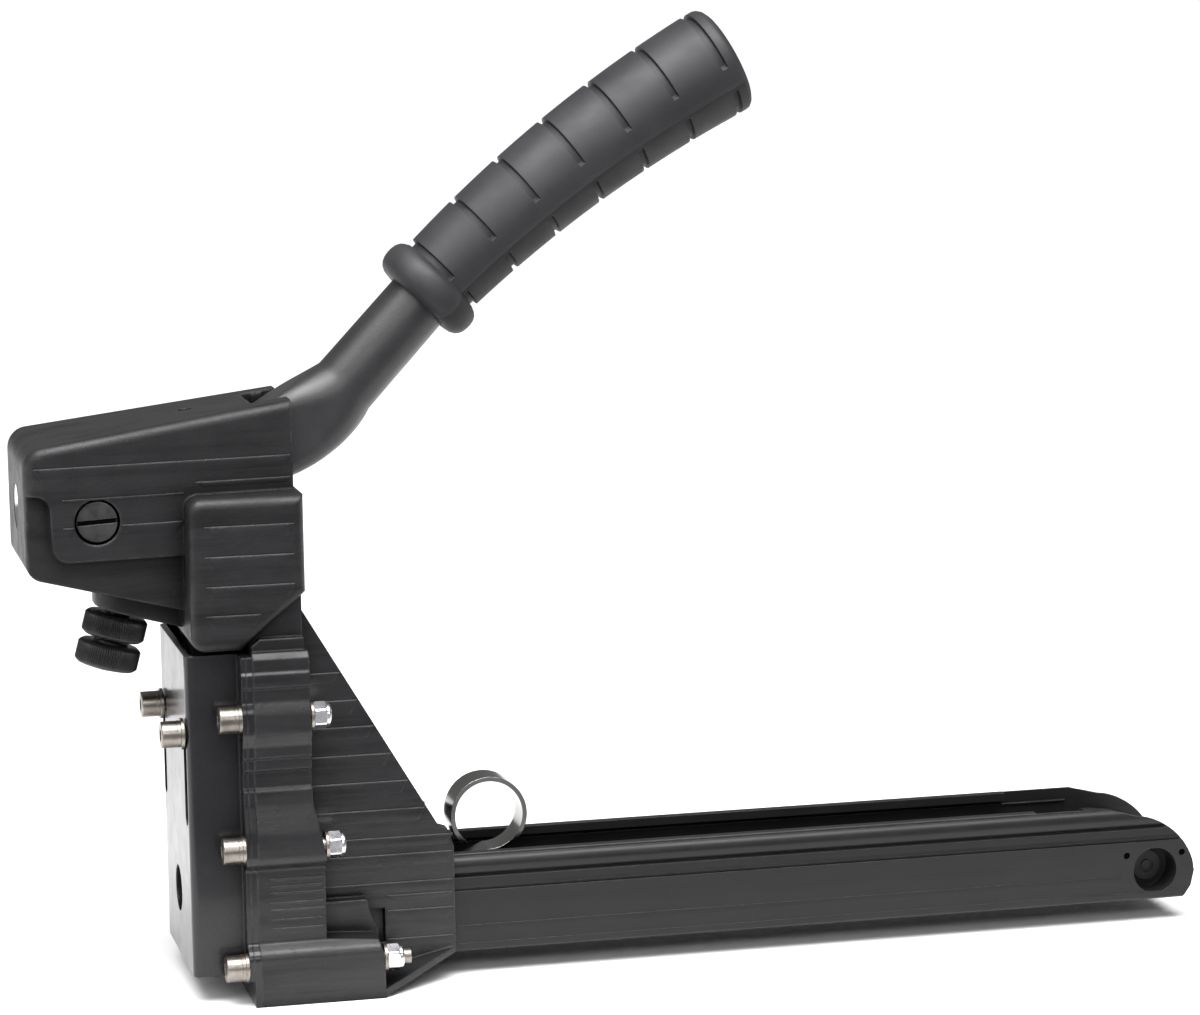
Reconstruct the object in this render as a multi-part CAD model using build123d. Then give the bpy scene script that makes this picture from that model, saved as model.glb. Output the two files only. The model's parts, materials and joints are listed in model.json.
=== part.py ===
from build123d import *
import os
from math import atan2, cos, degrees, hypot, radians, sin, sqrt, tan

# Hand-operated carton-closing stapler, in millimetres.
# While it is modelled, x = 0 is the front face of the front cover, x grows
# towards the tail of the magazine, y = 0 is the mid-plane and z = 0 is the sole.
# At export everything moves by -SOLE_CENTRE_X, so the origin is on the sole.

# ---------------------------------------------------------------- dimensions
SOLE_CENTRE_X = 44.0

# front cover, a folded channel with two outward flanges
COVER_HALF_W = 31.6
COVER_BOTTOM_Z = 8.5
COVER_TOP_Z = 112.5
COVER_T = 2.0
FLANGE_FRONT_X = 16.6
FLANGE_T = 1.6
COVER_SLOT_Y = 25.8
COVER_SLOT_Z = (57.0, 90.5)
COVER_SLOT_W = 6.2
COVER_HOLE_Z = 30.7
COVER_HOLE_D = 15.0

# guide plate between the cover and the casting
GUIDE_FRONT_X = FLANGE_FRONT_X + FLANGE_T
GUIDE_T = 2.2
CASTING_FRONT_X = GUIDE_FRONT_X + GUIDE_T

# body casting
BOSS_HALF_W = 41.0
CHANNEL_FLOOR_X = CASTING_FRONT_X + 2.3
FRONT_WALL_REAR_X = 26.4
WEB_HALF_W = 24.0
WEB_REAR_X = 86.5
TONGUE_HALF_W = 33.0
TONGUE_TOP_Z = 134.5
BOLT_Y = 36.8
BOLT_ROWS = ((92.4, 38.6), (50.2, 42.2), (12.0, 60.2))  # height, nut face x

# head housing
HEAD_FRONT_X = -48.0
HEAD_REAR_X = 37.6
HEAD_HALF_W_FRONT = 31.0
HEAD_HALF_W_REAR = 22.0
HEAD_TOP_FRONT_Z = 179.6
HEAD_TOP_REAR_Z = 191.2
NOSE_BOTTOM = ((-44.8, 138.4), (2.0, 125.6))
SKIRT_HALF_W = 36.6
SKIRT_FRONT_X = 2.0
SKIRT_REAR_X = 38.6
SKIRT_BOTTOM_Z = 114.0
SKIRT_TOP_Z = 162.8
CAVITY_HALF_W = 14.2
NOSE_HOLE_Z = 158.6
NOSE_HOLE_D = 14.4
OIL_HOLE_X = 6.6

# handle lever
PIVOT_X = -25.5
PIVOT_Z = 156.2
PIVOT_R = 6.0
PIN_HEAD_R = 6.5
PIN_BORE_R = 7.25
LEVER_HALF_T = 6.5
HANDLE_SWING = 40.0
RUN_CLEARANCE = 0.05
PUSH_FIT = 0.04
BAR_D = 21.0
BAR_START = (58.4, 192.4)
BAR_END = (85.2, 221.0)
GRIP_START = (87.0, 222.8)
GRIP_START_ANGLE = 44.0
GRIP_BEND_RADIUS = 427.0
GRIP_LENGTH = 124.0
GRIP_R = (14.5, 18.3)
COLLAR_R = 17.8

# driver carriage
DRIVE_X = 10.0
CARRIAGE_FRONT_X = 2.8
CARRIAGE_REAR_X = 17.8
CROSSHEAD_Z = (78.0, 96.0)
CROSSHEAD_HALF_W = 29.2
PILLAR_HALF_W = 13.0
FORK_HALF_GAP = 7.3
FORK_TOP_Z = 176.4
CROSS_PIN_R = 4.0
SCREW_Z = 86.8
BLADE_T = 1.8
BLADE_HALF_W = 17.3
BLADE_BOTTOM_Z = 27.4

# return springs
SPRING_Y = 20.0
SPRING_X = 9.6
SPRING_SEAT_Z = (37.5, 44.0)
SPRING_R = 4.4
SPRING_WIRE = 1.2

# clinching anvils
ANVIL_PIVOT_Y = 8.0
ANVIL_PIVOT_Z = 20.0
ANVIL_TIP = (26.4, 13.2)
ANVIL_X = (5.0, 12.0)
ANVIL_PIN_R = 3.0

# depth stop under the nose, square to the sloping underside
STOP_FOOT = (-18.1, 118.2)
STOP_R = 4.0
KNOB_R = 10.2
KNOB_T = 8.0
KNOB_PITCH = 9.6

# staple magazine
MAG_HALF_W = 20.0
MAG_WALL = 2.1
MAG_FLOOR_Z = (7.5, 9.5)
MAG_TOP_Z = 39.6
MAG_GROOVE_Z = 28.4
MAG_FRONT_X = 23.0
MAG_LIP_W = 3.2
MAG_LIP_END_X = 287.5
BORE_X = 329.3
BORE_Z = 17.5
BORE_R = 7.7
CORE_HALF_W = 15.9
CORE_TOP_Z = 24.5
TAIL_PIN_X = (319.2, 339.0)
TAIL_PIN_Z = 23.1

# pusher and its finger ring
PUSHER_FRONT_X = 23.4
PUSHER_REAR_X = 90.0
PUSHER_Z = (25.4, 30.6)
RING_X = 102.0
RING_Z = 49.0
RING_R = 12.8
RING_T = 1.5
RING_HALF_W = 6.0

# standard hardware
M5_R = 2.5
M5_HEAD_R = 4.25
M5_HEAD_H = 5.0
M5_AF = 8.0
WASHER_R = 5.0
WASHER_T = 1.0
LOCKWASHER_T = 1.2


# ------------------------------------------------------------------- helpers
def block(x0, x1, y0, y1, z0, z1):
    return Pos((x0 + x1) / 2, (y0 + y1) / 2, (z0 + z1) / 2) * Box(x1 - x0, y1 - y0, z1 - z0)


def cyl_x(radius, x0, x1, y, z):
    return Pos((x0 + x1) / 2, y, z) * Rot(0, 90, 0) * Cylinder(radius, x1 - x0)


def cyl_y(radius, y0, y1, x, z):
    return Pos(x, (y0 + y1) / 2, z) * Rot(90, 0, 0) * Cylinder(radius, y1 - y0)


def cyl_z(radius, z0, z1, x, y):
    return Pos(x, y, (z0 + z1) / 2) * Cylinder(radius, z1 - z0)


def outline(*points):
    return make_face(Polyline(*points, close=True))


def rounded_at(face, *corners):
    """Rounds the corners of a sketch that lie at (a, b), given as (a, b, radius)."""
    for a, b, radius in corners:
        here = [v for v in face.vertices() if abs(abs(v.X) - a) < 0.02 and abs(v.Y - b) < 0.02]
        face = fillet(here, radius)
    return face


def side_prism(sketch, y0, y1):
    """Extrudes an (x, z) sketch from y0 to y1."""
    return extrude(Plane.XZ.offset(-y1) * sketch, amount=y1 - y0)


def front_prism(sketch, x0, x1):
    """Extrudes a (y, z) sketch from x0 to x1."""
    return extrude(Plane.YZ.offset(x0) * sketch, amount=x1 - x0)


def both_sides(shape):
    return shape + mirror(shape, about=Plane.XZ)


def solids_of(*shapes):
    """Keeps touching or repeated pieces as separate solids of one node."""
    return Compound([s for shape in shapes for s in shape.solids()])


def hexagon_x(across_flats, x0, x1, y, z):
    sketch = RegularPolygon(across_flats / 2, 6, major_radius=False)
    return Pos(0, y, z) * front_prism(Rot(0, 0, 30) * sketch, x0, x1)


def cap_screw(x_seat, x_end, y, z):
    """Socket cap screw along +X with its head seated on x_seat."""
    head = cyl_x(M5_HEAD_R, x_seat - M5_HEAD_H, x_seat, y, z)
    rim = head.faces().sort_by(Axis.X)[0].edges()
    head = fillet(rim, 0.5)
    shank = cyl_x(M5_R, x_seat, x_end, y, z)
    socket = hexagon_x(4.0, x_seat - M5_HEAD_H - 1, x_seat - 2.4, y, z)
    return head + shank - socket


def ring_x(r_out, r_in, x0, x1, y, z):
    return cyl_x(r_out, x0, x1, y, z) - cyl_x(r_in, x0 - 1, x1 + 1, y, z)


def split_ring_x(r_out, r_in, x0, x1, y, z):
    """Spring washer: a ring with a narrow slanting cut."""
    cut = Pos((x0 + x1) / 2, y, z + (r_out + r_in) / 2) * Rot(0, 0, 30) * Box(4, 0.6, r_out)
    return ring_x(r_out, r_in, x0, x1, y, z) - cut


# -------------------------------------------------------------- body casting
def casting_outline(bottom, top):
    """Front outline of the casting: the bolt bosses stand out in steps."""
    w = BOSS_HALF_W
    side = [
        (w, bottom), (w, 16.4), (w - 3.9, 19.4), (w - 4.0, 43.4), (w, 46.0), (w, 53.2), (w - 2.9, 64.8),
        (w - 3.0, 69.0), (w - 4.2, 70.0), (w - 4.2, 75.0), (w - 3.0, 75.8), (w - 3.0, 79.2), (w - 2.0, 80.0),
        (w - 2.0, 83.6), (w, 87.8), (w, 94.4), (w - 1.6, 98.0), (w - 1.6, 102.0), (w - 0.8, 102.8),
        (w - 0.8, 106.8), (w - 1.4, 107.6), (w - 1.4, top),
    ]
    face = outline(*side, *[(-y, z) for y, z in reversed(side)])
    return rounded_at(
        face, (w, 16.4, 4.0), (w - 3.9, 19.4, 1.2), (w - 4.0, 43.4, 1.2), (w, 46.0, 4.2), (w, 53.2, 26.0),
        (w - 2.9, 64.8, 9.0), (w - 2.0, 83.6, 3.0), (w, 87.8, 8.0), (w, 94.4, 8.0), (w - 1.6, 98.0, 3.0),
    )


def web_outline():
    return outline(
        (30.0, 127.0), (38.4, 124.8), (81.6, 51.0), (84.4, 50.0), (WEB_REAR_X, 44.0),
        (WEB_REAR_X, 8.8), (63.0, 0.0), (30.0, 0.0),
    )


def make_body_casting():
    side = outline(
        (CASTING_FRONT_X, 0.0), (60.2, 0.0), (60.2, 13.0), (58.6, 18.6), (42.0, 19.6),
        (42.2, 46.6), (38.6, 64.8), (38.4, 112.6), (37.4, 118.0), (CASTING_FRONT_X, 118.0),
    )
    front = front_prism(casting_outline(0.0, 118.0), CASTING_FRONT_X, 62.0)
    shape = front & side_prism(side, -BOSS_HALF_W, BOSS_HALF_W)
    # shoulders that step in towards the head, then the tongue inside its skirt
    for sign in (-1, 1):
        slope = outline((sign * 39.6, 111.6), (sign * 43, 111.6), (sign * 43, 119), (sign * 33, 119),
                        (sign * 33, 113.6), (sign * 38.2, 113.4))
        shape -= front_prism(slope, CASTING_FRONT_X - 1, 40)
    neck = outline((20.8, 112.0), (20.8, 115.4), (23.4, 117.4), (37.4, 117.4), (37.4, 112.0))
    shape += side_prism(neck, -35.8, 35.8)
    shape += block(CASTING_FRONT_X, 37.4, -TONGUE_HALF_W, TONGUE_HALF_W, 113.0, TONGUE_TOP_Z)
    shape += side_prism(web_outline(), -WEB_HALF_W, WEB_HALF_W)
    # shelf between the flat panel and the bottom boss, and the gusset below it
    shelf = outline((40.0, 12.0), (60.2, 12.0), (60.2, 19.8), (57.6, 25.2), (57.0, 29.3), (40.0, 29.3))
    shape += side_prism(shelf, -28.6, 28.6)
    for sign in (-1, 1):
        foot = loft([
            Plane.YZ.offset(60.0) * outline(
                (sign * 20, 0.0), (sign * BOSS_HALF_W, 0.0), (sign * BOSS_HALF_W, 2.6), (sign * 20, 5.0)),
            Plane.YZ.offset(WEB_REAR_X) * outline(
                (sign * 20, 8.8), (sign * WEB_HALF_W, 8.8), (sign * WEB_HALF_W, 10.6), (sign * 20, 12.0)),
        ])
        shape += foot
    # hollow interior, open behind above the magazine
    hollow = outline(
        (FRONT_WALL_REAR_X, 7.3), (92.0, 7.3), (92.0, 44.6), (79.6, 45.0), (37.6, 116.4),
        (FRONT_WALL_REAR_X, 112.0),
    )
    shape -= side_prism(hollow, -20.2, 20.2)
    shape -= block(74.0, 92.0, -20.2, 20.2, 44.0, 66.0)
    # window in each side wall behind the shelf
    window = outline((60.8, 13.6), (63.4, 13.6), (63.4, 24.9), (57.9, 24.9), (60.6, 19.8))
    shape -= side_prism(window, -30.0, 30.0)
    shape -= block(CHANNEL_FLOOR_X - 0.1, 40, -20.2, 20.2, 7.3, 40.2)
    # room for the driver blade in front, open through the sole
    shape -= block(CASTING_FRONT_X - 1, CHANNEL_FLOOR_X, -31.4, 31.4, 48.0, 100.0)
    shape -= block(CASTING_FRONT_X - 1, CHANNEL_FLOOR_X, -17.9, 17.9, -1.0, 100.0)
    # slot for the lever between the two halves of the tongue
    shape -= block(24.0, 52.0, -13.2, 13.2, 111.0, 140.0)
    shape -= block(CASTING_FRONT_X - 1, 40.0, -13.2, 13.2, 118.0, 140.0)
    # holes for the flange bolts, and pockets for the dowels of the head
    for z, nut_x in BOLT_ROWS:
        for sign in (-1, 1):
            shape -= cyl_x(M5_R + 0.15, CASTING_FRONT_X - 1, nut_x + 5, sign * BOLT_Y, z)
    for sign in (-1, 1):
        shape -= cyl_z(2.5 + PUSH_FIT, 126.0, TONGUE_TOP_Z + 1, 28.0, sign * 24.0)
        for x in (45.0, 58.0):
            shape -= cyl_z(2.1, -1, 8.0, x, sign * 10.0)
            shape -= cyl_z(4.2, -1, 2.4, x, sign * 10.0)
    return shape


# ------------------------------------------------- guide plate, cover, bolts
def make_guide_plate():
    shape = front_prism(casting_outline(0.0, COVER_TOP_Z), GUIDE_FRONT_X, CASTING_FRONT_X)
    for sign in (-1, 1):
        y = sign * COVER_SLOT_Y
        low = SCREW_Z - HANDLE_TRAVEL - M5_R - 0.7
        high = SCREW_Z + M5_R + 0.7
        shape -= block(GUIDE_FRONT_X - 1, CASTING_FRONT_X + 1, y - 3.1, y + 3.1, low, high)
        shape -= cyl_x(ANVIL_PIN_R + PUSH_FIT, GUIDE_FRONT_X - 1, CASTING_FRONT_X + 1,
                       sign * ANVIL_PIVOT_Y, ANVIL_PIVOT_Z)
        for z, _ in BOLT_ROWS:
            shape -= cyl_x(M5_R + 0.15, GUIDE_FRONT_X - 1, CASTING_FRONT_X + 1, sign * BOLT_Y, z)
    return shape


def make_front_cover():
    outer = block(0, FLANGE_FRONT_X + FLANGE_T, -COVER_HALF_W, COVER_HALF_W, COVER_BOTTOM_Z, COVER_TOP_Z)
    front_edges = outer.edges().filter_by(Axis.Z).sort_by(Axis.X)[:2]
    outer = fillet(front_edges, 2.8)
    flange = front_prism(casting_outline(0.0, COVER_TOP_Z), FLANGE_FRONT_X, GUIDE_FRONT_X)
    flange &= block(0, 30, -60, 60, COVER_BOTTOM_Z, COVER_TOP_Z)
    inner_w = COVER_HALF_W - COVER_T
    inner = block(COVER_T, GUIDE_FRONT_X + 1, -inner_w, inner_w, 0, COVER_TOP_Z + 1)
    inner = fillet(inner.edges().filter_by(Axis.Z).sort_by(Axis.X)[:2], 1.0)
    shape = outer + flange - inner
    # outward bend between each side wall and its flange
    bend = [e for e in shape.edges().filter_by(Axis.Z)
            if abs(e.center().X - FLANGE_FRONT_X) < 0.05 and abs(abs(e.center().Y) - COVER_HALF_W) < 0.05]
    shape = fillet(bend, 0.5)
    for sign in (-1, 1):
        y = sign * COVER_SLOT_Y
        slot = block(-1, COVER_T + 2, y - COVER_SLOT_W / 2, y + COVER_SLOT_W / 2,
                     COVER_SLOT_Z[0] + COVER_SLOT_W / 2, COVER_SLOT_Z[1] - COVER_SLOT_W / 2)
        for z in (COVER_SLOT_Z[0] + COVER_SLOT_W / 2, COVER_SLOT_Z[1] - COVER_SLOT_W / 2):
            slot += cyl_x(COVER_SLOT_W / 2, -1, COVER_T + 2, y, z)
        shape -= slot
        for z, _ in BOLT_ROWS:
            shape -= cyl_x(M5_R + 0.15, FLANGE_FRONT_X - 1, GUIDE_FRONT_X + 1, sign * BOLT_Y, z)
    shape -= cyl_x(COVER_HOLE_D / 2, -1, COVER_T + 1, 0, COVER_HOLE_Z)
    return shape


BOLT_SEAT_X = FLANGE_FRONT_X - WASHER_T - LOCKWASHER_T


def make_flange_bolts():
    bolts = []
    for z, nut_x in BOLT_ROWS:
        for sign in (-1, 1):
            end = nut_x + (8.8 if z < 20 else 6.6)
            bolts.append(cap_screw(BOLT_SEAT_X, end, sign * BOLT_Y, z))
    return solids_of(*bolts)


def make_flange_washers():
    rows = []
    for z, nut_x in BOLT_ROWS:
        for sign in (-1, 1):
            front = FLANGE_FRONT_X
            rows.append(ring_x(4.6, M5_R + 0.15, front - WASHER_T, front, sign * BOLT_Y, z))
            rows.append(ring_x(4.6, M5_R + 0.15, nut_x, nut_x + WASHER_T, sign * BOLT_Y, z))
    return solids_of(*rows)


def make_flange_lock_washers():
    x0 = BOLT_SEAT_X
    return solids_of(*[
        split_ring_x(4.3, M5_R + 0.15, x0, x0 + LOCKWASHER_T, sign * BOLT_Y, z)
        for z, _ in BOLT_ROWS for sign in (-1, 1)
    ])


def lock_nut(x0, y, z):
    """Hexagon nut with a rounded nylon-insert collar behind it."""
    body = hexagon_x(M5_AF, x0, x0 + 4.0, y, z)
    body &= fillet(cyl_x(M5_AF / 1.8, x0 - 0.1, x0 + 4.0, y, z).edges(), 0.6)
    collar = cyl_x(3.7, x0 + 4.0, x0 + 5.4, y, z)
    collar = fillet(collar.faces().sort_by(Axis.X)[-1].edges(), 0.7)
    return body + collar - cyl_x(M5_R + PUSH_FIT, x0 - 1, x0 + 7, y, z)


def make_flange_nuts():
    return solids_of(*[
        lock_nut(nut_x + WASHER_T, sign * BOLT_Y, z) for z, nut_x in BOLT_ROWS for sign in (-1, 1)
    ])


# -------------------------------------------------------------- head housing
def head_half_width(x):
    """The head is widest at the nose and narrows evenly towards the handle."""
    share = (x - HEAD_FRONT_X) / (HEAD_REAR_X - HEAD_FRONT_X)
    return HEAD_HALF_W_FRONT + (HEAD_HALF_W_REAR - HEAD_HALF_W_FRONT) * share


def head_top(x):
    share = (x - HEAD_FRONT_X) / (HEAD_REAR_X - HEAD_FRONT_X)
    return HEAD_TOP_FRONT_Z + (HEAD_TOP_REAR_Z - HEAD_TOP_FRONT_Z) * share


def nose_bottom(x):
    (xa, za), (xb, zb) = NOSE_BOTTOM
    return za + (zb - za) * (x - xa) / (xb - xa)


NOSE_SLOPE = atan2(NOSE_BOTTOM[0][1] - NOSE_BOTTOM[1][1], NOSE_BOTTOM[1][0] - NOSE_BOTTOM[0][0])
PAD_W = 26.0
PAD_FRONT_R = 10.0


def make_head_housing():
    front, rear = HEAD_FRONT_X, HEAD_REAR_X
    side = outline(
        (front, head_top(front)), (rear, head_top(rear)), (rear, 140.0), (SKIRT_FRONT_X + 4, 140.0),
        (SKIRT_FRONT_X + 4, nose_bottom(SKIRT_FRONT_X + 4)), (front, nose_bottom(front)),
    )
    corners = side.vertices().sort_by(Axis.X)[:2]
    side = fillet(corners.sort_by(Axis.Y)[0], 6.0)
    top_corner = side.vertices().filter_by(lambda v: abs(v.X - front) < 0.01).sort_by(Axis.Y)[-1]
    side = fillet(top_corner, 7.0)
    upper = side_prism(side, -40, 40)
    plan = outline(
        (front, -head_half_width(front)), (rear, -head_half_width(rear)),
        (rear, head_half_width(rear)), (front, head_half_width(front)),
    )
    plan = fillet(plan.vertices().sort_by(Axis.X)[:2], 5.5)
    upper &= extrude(Pos(0, 0, 100) * plan, amount=110)
    roof = [e for e in upper.edges() if e.center().Z > 181 and abs(e.center().Y) > 20
            and e.bounding_box().size.X > 40]
    upper = fillet(roof, 3.2)
    # below and in front of the raised panel the side steps in
    step = 3.4
    low = outline(
        (front - 3, 165.2), (-40.4, 165.2), (-39.8, 143.9), (SKIRT_FRONT_X + 3, 143.9),
        (SKIRT_FRONT_X + 3, 110.0), (front - 3, 110.0),
    )
    low = rounded_at(low, (40.4, 165.2, 4.5), (39.8, 143.9, 5.6))
    ends = (front - 3, SKIRT_FRONT_X + 3)
    for sign in (-1, 1):
        plan_cut = outline(*[
            (ends[0], sign * (head_half_width(ends[0]) - step)), (ends[1], sign * (head_half_width(ends[1]) - step)),
            (ends[1], sign * 45), (ends[0], sign * 45),
        ])
        wedge = extrude(Pos(0, 0, 100) * plan_cut, amount=80)
        upper -= wedge & side_prism(low, -46, 46)
    # skirt round the top of the body, with the corner cut away behind
    skirt_side = outline(
        (SKIRT_FRONT_X, SKIRT_TOP_Z), (SKIRT_REAR_X, SKIRT_TOP_Z), (SKIRT_REAR_X, 131.8),
        (18.0, SKIRT_BOTTOM_Z), (SKIRT_FRONT_X, SKIRT_BOTTOM_Z),
    )
    skirt_side = fillet(skirt_side.vertices().sort_by(Axis.X)[:2], 4.5)
    skirt = side_prism(skirt_side, -SKIRT_HALF_W, SKIRT_HALF_W)
    rims = [e for e in skirt.edges() if abs(abs(e.center().Y) - SKIRT_HALF_W) < 0.01]
    skirt = fillet(rims, 3.2)
    shape = upper + skirt
    # pad under the nose that carries the depth stop
    pad = outline((-26.6, 0.0), (4.5, 0.0), (4.5, -7.0), (-26.6, -7.0))
    pad = Pos(0, nose_bottom(0.0) + 0.4) * Rot(0, 0, -degrees(NOSE_SLOPE)) * pad
    pad_plan = fillet((Pos(-9.6, 0) * Rectangle(30, PAD_W)).vertices().group_by(Axis.X)[0], PAD_FRONT_R)
    shape += side_prism(pad, -PAD_W / 2, PAD_W / 2) & extrude(Plane.XY.offset(60) * pad_plan, amount=90)
    # lever cavity, open at the back and down through the skirt
    cavity = outline(
        (-41.0, nose_bottom(-41.0) + 6), (-41.0, head_top(-41.0) - 5), (45.0, head_top(45.0) - 4.6),
        (45.0, 100.0), (3.6, 100.0), (3.6, nose_bottom(3.6) + 5.5),
    )
    shape -= side_prism(cavity, -CAVITY_HALF_W, CAVITY_HALF_W)
    shape -= block(15.6, 45.0, -TONGUE_HALF_W - 0.3, TONGUE_HALF_W + 0.3, 100.0, TONGUE_TOP_Z + 0.3)
    shape -= block(15.6, CASTING_FRONT_X, -TONGUE_HALF_W - 0.3, TONGUE_HALF_W + 0.3, 100.0, 125.0)
    # notch in the roof where the handle leaves, with its small stop tab kept
    shape -= block(26.0, 45.0, -12.6, 12.6, 170.0, 200.0)
    tab = outline((29.6, head_top(29.6) - 3.4), (33.4, head_top(33.4) - 3.4),
                  (33.4, head_top(33.4) - 0.4), (29.6, head_top(29.6) - 0.4))
    shape += side_prism(tab, -CAVITY_HALF_W - 1, -11.4)
    shape += side_prism(tab, 11.4, CAVITY_HALF_W + 1)
    # oil hole over the driver, nose hole, pivot and stop bores
    shape -= cyl_z(2.3, 175.0, 195.0, OIL_HOLE_X, 0)
    shape -= cyl_x(NOSE_HOLE_D / 2, HEAD_FRONT_X - 2, -40.0, 0, NOSE_HOLE_Z)
    shape -= cyl_y(PIVOT_R + PUSH_FIT, -40, 40, PIVOT_X, PIVOT_Z)
    shape -= cyl_y(PIN_BORE_R, -40, -22.0, PIVOT_X, PIVOT_Z)
    shape -= cyl_y(PIN_BORE_R, 22.0, 40, PIVOT_X, PIVOT_Z)
    shape -= along_stop(Cylinder(STOP_R + 0.05, 60))
    for sign in (-1, 1):
        shape -= cyl_z(2.5 + PUSH_FIT, TONGUE_TOP_Z - 1, 143.0, 28.0, sign * 24.0)
    return shape


def make_head_dowels():
    return solids_of(*[cyl_z(2.5, 126.2, 142.8, 28.0, sign * 24.0) for sign in (-1, 1)])


def make_nose_bush():
    bush = cyl_x(NOSE_HOLE_D / 2 - PUSH_FIT, HEAD_FRONT_X + 0.2, -40.8, 0, NOSE_HOLE_Z)
    bush -= cyl_x(5.7, HEAD_FRONT_X - 1, -38, 0, NOSE_HOLE_Z)
    mouth = [e for e in bush.edges().filter_by(GeomType.CIRCLE) if e.center().X < -47 and e.radius < 6]
    return chamfer(mouth, 1.3)


PIN_FACE_Y = head_half_width(PIVOT_X) - 0.5


def make_pivot_pin():
    pin = cyl_y(PIVOT_R, -22.0, 26.0, PIVOT_X, PIVOT_Z)
    head = cyl_y(PIN_HEAD_R, -PIN_FACE_Y, -22.0, PIVOT_X, PIVOT_Z)
    head = fillet(head.faces().sort_by(Axis.Y)[0].edges(), 0.4)
    slot = Pos(PIVOT_X, -PIN_FACE_Y, PIVOT_Z) * Rot(0, -3, 0) * Box(20, 3.0, 1.5)
    return pin + head - slot


def make_pivot_ring():
    ring = cyl_y(PIN_HEAD_R, 22.1, PIN_FACE_Y, PIVOT_X, PIVOT_Z)
    ring = fillet(ring.faces().sort_by(Axis.Y)[-1].edges(), 0.3)
    slot = Pos(PIVOT_X, PIN_FACE_Y, PIVOT_Z) * Rot(0, -3, 0) * Box(20, 3.0, 1.5)
    return ring - cyl_y(PIVOT_R + PUSH_FIT, 20, 26.0, PIVOT_X, PIVOT_Z) - slot


# --------------------------------------------------------------- depth stop
STOP_UP = (sin(NOSE_SLOPE), cos(NOSE_SLOPE))


def along_stop(shape, shift=0.0):
    """Places a shape made on the Z axis onto the tilted axis of the depth stop."""
    x = STOP_FOOT[0] + STOP_UP[0] * shift
    z = STOP_FOOT[1] + STOP_UP[1] * shift
    return Pos(x, 0, z) * Rot(0, degrees(NOSE_SLOPE), 0) * shape


def knurled_knob(bore):
    knob = Cylinder(KNOB_R, KNOB_T)
    knob = chamfer(knob.edges().filter_by(GeomType.CIRCLE), 1.1)
    return knob - Cylinder(bore, KNOB_T + 2)


def make_lock_knob():
    return along_stop(knurled_knob(STOP_R + RUN_CLEARANCE))


def make_adjusting_knob():
    knob = knurled_knob(STOP_R + RUN_CLEARANCE) + Pos(0, 0, KNOB_T / 2 + 0.4) * (
        Cylinder(4.9, 0.9) - Cylinder(STOP_R + RUN_CLEARANCE, 3))
    return along_stop(knob, -KNOB_PITCH)


def make_stop_screw():
    low = -KNOB_PITCH - KNOB_T / 2 - 0.8
    length = 20.6 - low
    screw = Pos(0, 0, low + length / 2) * Cylinder(STOP_R, length)
    screw = chamfer(screw.edges().filter_by(GeomType.CIRCLE), 0.6)
    return along_stop(screw)


# --------------------------------------------------------------- handle lever
def lever_point(distance, lift=0.0, angle=HANDLE_SWING / 2):
    a = radians(angle)
    return (PIVOT_X + distance * cos(a) - lift * sin(a), PIVOT_Z + distance * sin(a) + lift * cos(a))


PIN_DISTANCE = (DRIVE_X - PIVOT_X) / cos(radians(HANDLE_SWING / 2))
HANDLE_TRAVEL = 2 * (DRIVE_X - PIVOT_X) * tan(radians(HANDLE_SWING / 2))


def rounded_section(x, z, angle, height, width, corner):
    """Rounded rectangle square to a direction that rises by angle in the XZ plane."""
    a = radians(angle)
    plane = Plane(origin=(x, 0, z), x_dir=(0, 1, 0), z_dir=(cos(a), 0, sin(a)))
    return plane * RectangleRounded(width, height, corner)


def make_handle_arm():
    lever = outline(lever_point(-4, -10.5), lever_point(62, -10.5), lever_point(62, 7.2), lever_point(-4, 7.2))
    shape = side_prism(lever, -LEVER_HALF_T, LEVER_HALF_T)
    shape += cyl_y(11.4, -LEVER_HALF_T, LEVER_HALF_T, PIVOT_X, PIVOT_Z)
    for sign in (-1, 1):
        shape += cyl_y(9.5, min(sign * 6, sign * 13.9), max(sign * 6, sign * 13.9), PIVOT_X, PIVOT_Z)
    shape += loft([
        rounded_section(26.0, 173.5, 15.0, 20.0, 20.0, 3.0),
        rounded_section(38.5, 178.3, 12.0, 26.0, 21.6, 4.0),
        rounded_section(49.5, 184.6, 30.0, 25.6, 21.6, 8.0),
        rounded_section(*BAR_START, 45.0, 21.6, BAR_D, 10.2),
    ])
    shape += handle_bar()
    # tang inside the rubber grip
    shape += grip_sweep(8.0, 8.0, -4.0, GRIP_LENGTH - 14.0)
    # pin slot, along the lever through the line of drive
    slot_len = (PIN_DISTANCE - (DRIVE_X - PIVOT_X)) + 1.4
    a = HANDLE_SWING / 2
    middle = lever_point((PIN_DISTANCE + DRIVE_X - PIVOT_X) / 2)
    slot = SlotCenterToCenter(slot_len, 2 * CROSS_PIN_R + 0.9)
    shape -= side_prism(Pos(*middle) * Rot(0, 0, a) * slot, -20, 20)
    shape -= cyl_y(PIVOT_R + 2.0, -20, 20, PIVOT_X, PIVOT_Z)
    return shape


def handle_bar():
    bar = rounded_section(*BAR_START, 45.0, 21.6, BAR_D, 10.2)
    bar_end = rounded_section(*BAR_END, 46.0, BAR_D, BAR_D, 10.4)
    return loft([bar, bar_end])


def make_lever_bush():
    return cyl_y(PIVOT_R + 2.0, -13.9, 13.9, PIVOT_X, PIVOT_Z) - cyl_y(
        PIVOT_R + RUN_CLEARANCE, -20, 20, PIVOT_X, PIVOT_Z)


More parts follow.
